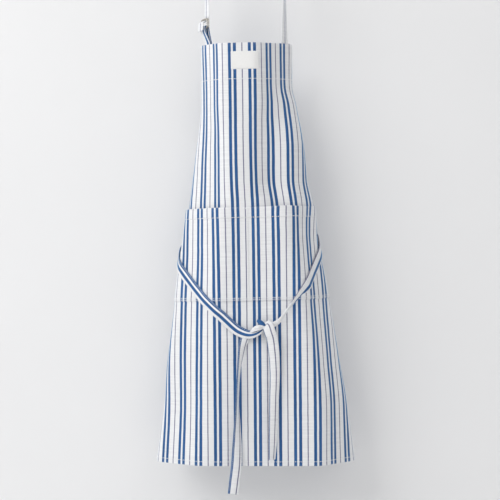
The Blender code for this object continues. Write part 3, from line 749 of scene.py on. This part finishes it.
def strap_places(side, z, out):
    """Path of a neck strap at heights z: behind the bib it follows the cloth, and above the
    edge it hangs in its own plane. Also both normals, the plane's width direction, and how
    far each point is in the plane, 0 to 1."""
    middle, width, normal = strap_frame(side, z)
    u = side * (LEFT_U if side < 0 else RIGHT_U)
    behind, cloth_out = PANEL.at(u, np.clip(TOP_Z - z, 0, None), out)
    behind[:, 2] = z
    share = eased((z - TOP_Z) / .012)[:, None]
    return behind + (middle + normal * out[:, None] - behind) * share, cloth_out, normal, width, share


def strap_course(side, profile, count):
    """Path and width direction of a strap from its (out, z) profile."""
    route = smooth_path([(out, z, 0) for out, z in profile], count)
    path, cloth_out, _, width, share = strap_places(side, route[:, 1], route[:, 0])
    along_cloth = unit(np.cross(cloth_out, (0, 0, -side)) * (1, 1, 0))
    return path, unit(along_cloth + (width - along_cloth) * share)


def course_ribbon(side, profile, count, fabric, width):
    path, across = strap_course(side, profile, count)
    out = np.cross(across, np.gradient(path, axis=0)) * -side
    return Ribbon(path, out, fabric, width)


def neck_strap():
    """From the rings over the peg and down to the strap's end behind the bib."""
    z = np.linspace(BAR_Z + RING_H + .0015, SPRING_Z, 60)[:-1]
    middle, _, left_out = strap_frame(-1, z)
    left = middle + left_out * (LOAD_OUT * (1 - eased((z - z[0]) / (SPRING_Z - z[0]))))[:, None]
    turn = np.linspace(0, math.pi, 61)
    arc_out = np.stack([-np.cos(turn), 0 * turn, np.sin(turn)], 1)
    arc = arc_out * CROWN_X + (0, 0, SPRING_Z)
    z = np.linspace(SPRING_Z, TOP_Z - SEWN_LENGTH, 90)[1:]
    out = BEHIND * eased((SPRING_Z - z) / (SPRING_Z - TOP_Z))
    right, cloth_out, normal, _, share = strap_places(1, z, out)
    right_out = unit(cloth_out + (normal - cloth_out) * share)
    path = softened(np.vstack([left, arc, right]), 4)
    face = softened(np.vstack([left_out, arc_out, right_out]), 6)
    return Ribbon(path, face, STRAP_FABRIC, STRAP_WIDTH)


def tube(name, path, radius, slot_name, body, nodes):
    """A closed wire with a small butt-welded bead where its ends meet."""
    sides, count = 14, len(path)
    along = unit(np.roll(path, -1, 0) - np.roll(path, 1, 0))
    flat = unit(np.cross(path[0] - path[count // 3], path[count // 2] - path[count // 3]))
    across = np.cross(along, flat)
    turn = np.linspace(0, 2 * math.pi, sides, endpoint=False)
    step = np.linalg.norm(np.roll(path, -1, 0) - path, axis=1)
    run = np.concatenate([[0], np.cumsum(step)[:-1]])
    weld = np.minimum(run, run[-1] - run)
    size = radius * (1 + .10 * np.exp(-(weld / .0011) ** 2))
    rings = (path[:, None] + size[:, None, None] * (np.cos(turn)[None, :, None] * across[:, None]
                                                    + np.sin(turn)[None, :, None] * flat))
    here = np.arange(count * sides).reshape(count, sides)
    after, beyond = np.roll(here, -1, 1), np.roll(here, -1, 0)
    faces = np.stack([here, beyond, np.roll(beyond, -1, 1), after], -1).reshape(-1, 4).tolist()
    uv = np.stack(np.meshgrid(turn * radius, run), -1).reshape(-1, 2)
    return settled(piece(name, rings.reshape(-1, 3), faces, uv, slot_name), body, nodes)


def ring_path():
    """The ring's outline, seen flat: a straight bar with tight corners and a rounder top."""
    half = RING_W / 2
    corners = ((half, 0, .0022, -90), (half, RING_H, .0068, 0),
               (-half, RING_H, .0068, 90), (-half, 0, .0022, 180))
    points = [(0, 0)]
    for x, y, radius, first in corners:
        middle_x, middle_y = x - math.copysign(radius, x), y + (radius if y == 0 else -radius)
        for step in range(13):
            angle = math.radians(first + 7.5 * step)
            points.append((middle_x + radius * math.cos(angle), middle_y + radius * math.sin(angle)))
    return np.array(points)


def make_rings():
    middle, width, normal = (row[0] for row in strap_frame(-1, np.array([BAR_Z])))
    flat = ring_path()
    for name, shift in (("ring_inner", -RING_PITCH / 2), ("ring_outer", RING_PITCH / 2)):
        place = middle + normal * (RING_MIDDLE + shift)
        path = place + flat[:, :1] * width + flat[:, 1:] * (0, 0, 1)
        tube("strap_" + name, path, WIRE, "ring_metal", name, [name])


def make_neck_strap():
    crossing = ("neck_loop", "apron", (0, 0, SPRING_Z), (0, 0, BAR_Z + RING_H + .004))
    strap = neck_strap()
    strap.mesh("neck_strap", crossing, ["neck_strap_crown", "neck_strap_left_run", "neck_strap_right_run",
                                        "neck_strap_right_end"])
    stitches("neck_strap_seams", strap.seams(sides=(1, -1)), crossing, radius=FINE_STITCH)

    top = BAR_Z + RING_H
    passing = top - WIRE - .0032
    turn = course_ribbon(-1, (
        (LOAD_OUT, top + .0018), (LOAD_OUT, top - .0010), (LOAD_OUT + .0016, passing + .0006),
        (RING_MIDDLE, passing - .0004), (RING_MIDDLE + RING_PITCH / 2 + .0035, passing - .0012),
        (TAIL_OUT - .0003, TAIL_TOP_Z + .0040), (TAIL_OUT, TAIL_TOP_Z)), 60, STRAP_FABRIC, .0205)
    turn.mesh("neck_strap_turn", "apron", ["neck_strap_turn"])
    tail = course_ribbon(-1, [(TAIL_OUT + TAIL_LEAN * max(drop, 0), TAIL_TOP_Z - drop)
                              for drop in (-.0004, .0045, .009, TAIL_TOP_Z - TAIL_END_Z)],
                         40, STRAP_FABRIC, STRAP_WIDTH)
    sliding = ("apron", "strap_tail", tuple(tail.path[0]), tuple(tail.path[-14]))
    tail.mesh("neck_strap_end", sliding, ["neck_strap_tail"])
    stitches("neck_strap_end_seams", tail.seams(.20, .98, sides=(1, -1)), sliding, length=.0024,
             radius=FINE_STITCH)

    outer, inner = BEHIND, BEHIND - STRAP - .0002
    low = TOP_Z - SEWN_LENGTH
    rear, front = RING_MIDDLE - RING_PITCH / 2, RING_MIDDLE + RING_PITCH / 2
    wrap = WIRE + STRAP / 2 + .0002
    slant = wrap * math.sqrt(.5)
    loop = course_ribbon(-1, (
        (inner, low), (inner, TOP_Z - .010), (inner, TOP_Z + .002), (rear - wrap, BAR_Z - .010),
        (rear - wrap, BAR_Z), (rear - slant, BAR_Z + slant), (rear, BAR_Z + wrap), (front, BAR_Z + wrap),
        (front + slant, BAR_Z + slant), (front + wrap, BAR_Z), (front + wrap, BAR_Z - .010),
        (outer, TOP_Z + .002), (outer, TOP_Z - .010), (outer, low)), 170, TAB_FABRIC, .0205)
    loop.mesh("ring_tab_loop", "apron", ["ring_tab"])
    stitches("ring_tab_seams", loop.seams(.02, .98), "apron", radius=FINE_STITCH)


# ---- Waist ties and their knot ----
TIE_BASE = .0030                    # middle of a tie above the cloth that it lies on
CROSSING_DROP = .12


def tie_ribbon(route, extra, down, knot_end, fabric, flip, count=240):
    """A tie drawn over the cloth along (u, v), lifted over the other flap at its start, and
    then through free points (x, ahead, z, width, turn, bow, span, fabric) into the knot."""
    spread = smooth_path([(u, v, 0) for u, v in route], count)
    share = np.linspace(0, 1, count)
    lift = TIE_BASE + extra * (1 - eased((share - down) / CROSSING_DROP))
    path, out = outermost_at(spread[:, 0], spread[:, 1], lift)
    path, out = softened(path, 14), softened(out, 40)
    full = np.tile((TIE_WIDTH, 0, 0, TIE_WIDTH, fabric), (count, 1))
    free = front_rows(knot_end)
    table = smooth_path(np.vstack([np.hstack([path, full, out])[::6], free]), count + 80)
    return shaped(softened(table, 3), flip)


def front_rows(points, *pattern):
    """Rows for shaped that face the front. A point starts x, distance ahead of KNOT_Y, z,
    width, turn, bow, and pattern is the end of the row, where the points share it."""
    return np.array([(x, KNOT_Y - ahead, *rest, *pattern, 0, -1, 0) for x, ahead, *rest in points], float)


def shaped(table, flip, thickness=STRAP):
    """A ribbon from rows of place, width, turn, bow, span, fabric and outward normal."""
    width, turn, bow, span, fabric = table[:, 3:8].T
    return Ribbon(table[:, :3], table[:, 8:11], fabric, width, turn, bow, thickness, flip, span)


def free_ribbon(points, *pattern, count=50, thickness=STRAP):
    """A strap through free points."""
    return shaped(smooth_path(front_rows(points, *pattern), count), -1, thickness)


# Routes over the cloth as (u, v), from the tie's sewn end to just short of the knot
LEFT_TIE = ((-.3120, .262), (-.2850, .292), (-.2250, .375), (-.1690, .447), (-.1200, .497), (-.0780, .537),
            (-.0480, .564))
RIGHT_TIE = ((.3120, .262), (.2850, .292), (.2300, .362), (.1720, .440), (.1400, .476), (.1150, .505))
TIE_FABRIC, RIGHT_FABRIC, RIGHT_PLAIN = .0195, .0468, .0430
# Parts of the woven pattern, by their places across the cloth: a plain part, a blue one
# and the tails' middle lines
PLAIN, BLUE, RIGHT_TAIL, LEFT_TAIL = .0302, .0216, .0340, .0310
KNOT_Y = float(pocket_at(.027, .583)[0][1])
LEFT_TIE_END = (
    (-.0232, .0040, -.8514, .0210, 0, .0006, .021, TIE_FABRIC),
    (-.0089, .0052, -.8606, .0205, -4, .0014, .021, TIE_FABRIC),
    (.0060, .0068, -.8652, .0180, -10, .0024, .021, TIE_FABRIC),
    (.0187, .0086, -.8642, .0145, -16, .0028, .021, TIE_FABRIC),
    (.0290, .0092, -.8598, .0105, -22, .0020, .021, TIE_FABRIC),
    (.0370, .0070, -.8540, .0065, -20, .0008, .016, .0225),
    (.0450, .0025, -.8500, .0050, 0, 0, .012, .0250))
RIGHT_TIE_END = (
    (.1015, .0028, -.7945, .0110, 40, .0004, .018, .0460),
    (.0925, .0036, -.8060, .0080, 42, .0006, .013, .0446),
    (.0832, .0045, -.8180, .0066, 40, .0008, .010, RIGHT_PLAIN),
    (.0752, .0052, -.8298, .0078, 34, .0010, .009, RIGHT_PLAIN),
    (.0672, .0060, -.8388, .0098, 22, .0012, .009, RIGHT_PLAIN),
    (.0562, .0066, -.8455, .0115, 8, .0010, .010, RIGHT_PLAIN),
    (.0440, .0045, -.8490, .0110, 0, 0, .010, RIGHT_PLAIN))


def make_ties():
    left = tie_ribbon(LEFT_TIE, .0076, .34, LEFT_TIE_END, TIE_FABRIC, 1)
    right = tie_ribbon(RIGHT_TIE, .0040, .10, RIGHT_TIE_END, RIGHT_FABRIC, -1)
    for name, ribbon in (("left", left), ("right", right)):
        ribbon.mesh("waist_tie_" + name, "apron", ["tie_" + name])
        stitches(f"waist_tie_{name}_seams", ribbon.seams(.01, .985), "apron", radius=FINE_STITCH)


def make_knot():
    """One overhand knot: a leaf of cloth and its fold, the dark turn above, and the core."""
    lobe = free_ribbon((
        (.0098, .0082, -.8602, .0018, 10, .0003, .004), (.0140, .0110, -.8570, .0058, 14, .0016, .008),
        (.0200, .0132, -.8526, .0090, 18, .0030, .010), (.0262, .0138, -.8500, .0092, 14, .0030, .010),
        (.0325, .0122, -.8496, .0076, 4, .0020, .009), (.0440, .0070, -.8500, .0060, 0, .0006, .008)),
        PLAIN, count=80)
    lobe.mesh("knot_lobe", "apron", ["tie_knot"])
    fold = free_ribbon((
        (.0120, .0116, -.8600, .0016, 24, .0002, .004), (.0190, .0150, -.8570, .0034, 32, .0008, .004),
        (.0262, .0158, -.8546, .0038, 28, .0010, .004), (.0340, .0128, -.8532, .0030, 12, .0006, .004),
        (.0400, .0090, -.8524, .0026, 0, .0003, .004)), PLAIN, count=60, thickness=.0016)
    fold.mesh("knot_lobe_fold", "apron")
    turn = free_ribbon((
        (.0240, .0035, -.8368, .0050, 0, .0003, .004), (.0290, .0080, -.8392, .0088, 12, .0012, .005),
        (.0345, .0105, -.8432, .0088, 16, .0016, .005), (.0400, .0100, -.8472, .0050, 8, .0006, .005)),
        BLUE)
    turn.mesh("knot_turn", "apron")
    core = free_ribbon((
        (.0300, .0025, -.8560, .0120, 0, .0010, .009), (.0400, .0045, -.8530, .0170, 0, .0030, .009),
        (.0500, .0045, -.8520, .0150, 0, .0030, .009), (.0580, .0025, -.8490, .0080, 0, .0010, .009)),
        PLAIN)
    core.mesh("knot_core", "apron")


def make_tails():
    """The loose ends: the right one starts as the drape over the knot."""
    right = free_ribbon((
        (.0446, .0030, -.8530, .0200, 0, .0005), (.0442, .0092, -.8468, .0222, 0, .0010),
        (.0462, .0134, -.8496, .0232, 0, .0022), (.0503, .0144, -.8612, .0236, -6, .0030),
        (.0545, .0125, -.8740, .0232, -10, .0028), (.0570, .0105, -.8930, .0228, -10, .0022),
        (.0592, .0090, -.9180, .0212, -6, .0018), (.0600, .0087, -.9500, .0200, 4, .0016),
        (.0585, .0086, -.9990, .0198, 14, .0014), (.0572, .0086, -1.0500, .0190, 20, .0012),
        (.0558, .0088, -1.0900, .0178, 28, .0010), (.0545, .0090, -1.1190, .0155, 34, .0010)),
        TIE_WIDTH, RIGHT_TAIL, count=200)
    crossing = ("apron", "tie_right_tail", (.0520, KNOT_Y, -.8560), (.0540, KNOT_Y, -.8900))
    right.mesh("waist_tie_right_end", crossing, ["tie_right_tail"])
    stitches("waist_tie_right_end_seams", right.seams(.08, .985), crossing, radius=FINE_STITCH)
    left = free_ribbon((
        (.0070, .0030, -.8600, .0170, 0, .0010), (-.0005, .0042, -.8720, .0185, 6, .0014),
        (-.0062, .0062, -.8900, .0170, 24, .0018), (-.0102, .0080, -.9130, .0150, 44, .0018),
        (-.0140, .0092, -.9450, .0125, 60, .0014), (-.0164, .0098, -1.0000, .0135, 66, .0010),
        (-.0166, .0095, -1.0450, .0180, 48, .0012), (-.0168, .0090, -1.0900, .0205, 26, .0014),
        (-.0182, .0086, -1.1300, .0218, 10, .0016), (-.0215, .0085, -1.1600, .0218, 4, .0016),
        (-.0250, .0085, -1.1890, .0214, 2, .0014)), TIE_WIDTH, LEFT_TAIL, count=230)
    crossing = ("apron", "tie_left_tail", (0, KNOT_Y, -.8640), (-.0060, KNOT_Y, -.8950))
    left.mesh("waist_tie_left_end", crossing, ["tie_left_tail"])
    stitches("waist_tie_left_end_seams", left.seams(.03, .985), crossing, radius=FINE_STITCH)


# ---- The apron ----
panel = settled(make_panel(), "apron", ["body_panel"])
pocket = settled(make_pocket(), "apron", ["pocket_panel"])
label = settled(make_label(), "apron", ["label"])
make_neck_strap()
make_rings()
make_ties()
make_knot()
make_tails()
make_sewing()

# ---- Stage, light and camera ----
VIEW_DISTANCE, FRAME_WIDTH = 2.5, 1.02
AIM = Vector((.0095, -.045, -.6935))
WALL_Y, FLOOR_Z = .105, -1.33
WALL_GREY, FLOOR_GREY = .84, .80
SKY, SKY_STRENGTH = (.985, .985, 1.0, 1), .62
# Lamps: name, place, the point it faces, diameter, watts
LAMPS = (
    ("key", (-2.9, -2.3, 1.8), (0, 0, -.5), 3.4, 108),
    ("fill", (1.3, -2.3, 1.1), (0, 0, -.5), 2.4, 5),
    ("rear", (.5, 3.0, .9), (0, 0, -.6), 1.8, 44),
)


def flat_stage(name, corners, grey, one_sided=False):
    """A plain surface. A one-sided one isn't seen from behind and casts no shadow, so that
    the rear lamp reaches the apron's back."""
    n = Nodes(name)
    place = n.add("TexCoord").outputs["Object"]
    light, dark = [grey] * 3 + [1], [grey * .96] * 3 + [1]
    n.shaded({"Base Color": n.mix(n.noise(place, 3.0, 3.0), light, dark), "Roughness": .9})
    if one_sided:
        behind = n.add("NewGeometry").outputs["Backfacing"]
        clear = n.math("MAXIMUM", behind, n.add("LightPath").outputs["Is Shadow Ray"])
        air = n.add("BsdfTransparent").outputs[0]
        blend = n.add("MixShader", {0: clear, 1: n.shader.outputs[0], 2: air})
        n.tree.links.new(blend.outputs[0], n.tree.nodes["Material Output"].inputs["Surface"])
    mesh = bpy.data.meshes.new(name)
    mesh.from_pydata(corners, [], [(0, 1, 2, 3)])
    mesh.materials.append(n.material)
    linked(name, mesh)


def area_light(name, place, aim_at, size, power):
    lamp = bpy.data.lights.new(name, "AREA")
    lamp.shape, lamp.size, lamp.energy = "DISK", size, power
    item = linked(name, lamp)
    item.location = place
    item.rotation_mode = "QUATERNION"
    item.rotation_quaternion = (Vector(aim_at) - Vector(place)).to_track_quat("-Z", "Y")


flat_stage("wall", [(x, WALL_Y, z) for x, z in ((-4, FLOOR_Z), (4, FLOOR_Z), (4, 3), (-4, 3))],
           WALL_GREY, one_sided=True)
flat_stage("floor", [(x, y, FLOOR_Z) for x, y in ((-6, -6), (6, -6), (6, 6), (-6, 6))], FLOOR_GREY)
for lamp in LAMPS:
    area_light(*lamp)
world = bpy.data.worlds.new("studio")
world.use_nodes = True
sky = world.node_tree.nodes["Background"]
sky.inputs["Color"].default_value, sky.inputs["Strength"].default_value = SKY, SKY_STRENGTH
bpy.context.scene.world = world
bpy.context.scene.view_settings.view_transform = "Standard"

lens = bpy.data.cameras.new("camera")
lens.sensor_width = 36
lens.lens = lens.sensor_width * VIEW_DISTANCE / FRAME_WIDTH
camera = linked("camera", lens)
camera.location = AIM - Vector((0, VIEW_DISTANCE, 0))
camera.rotation_euler = (math.pi / 2, 0, 0)
bpy.context.scene.camera = camera
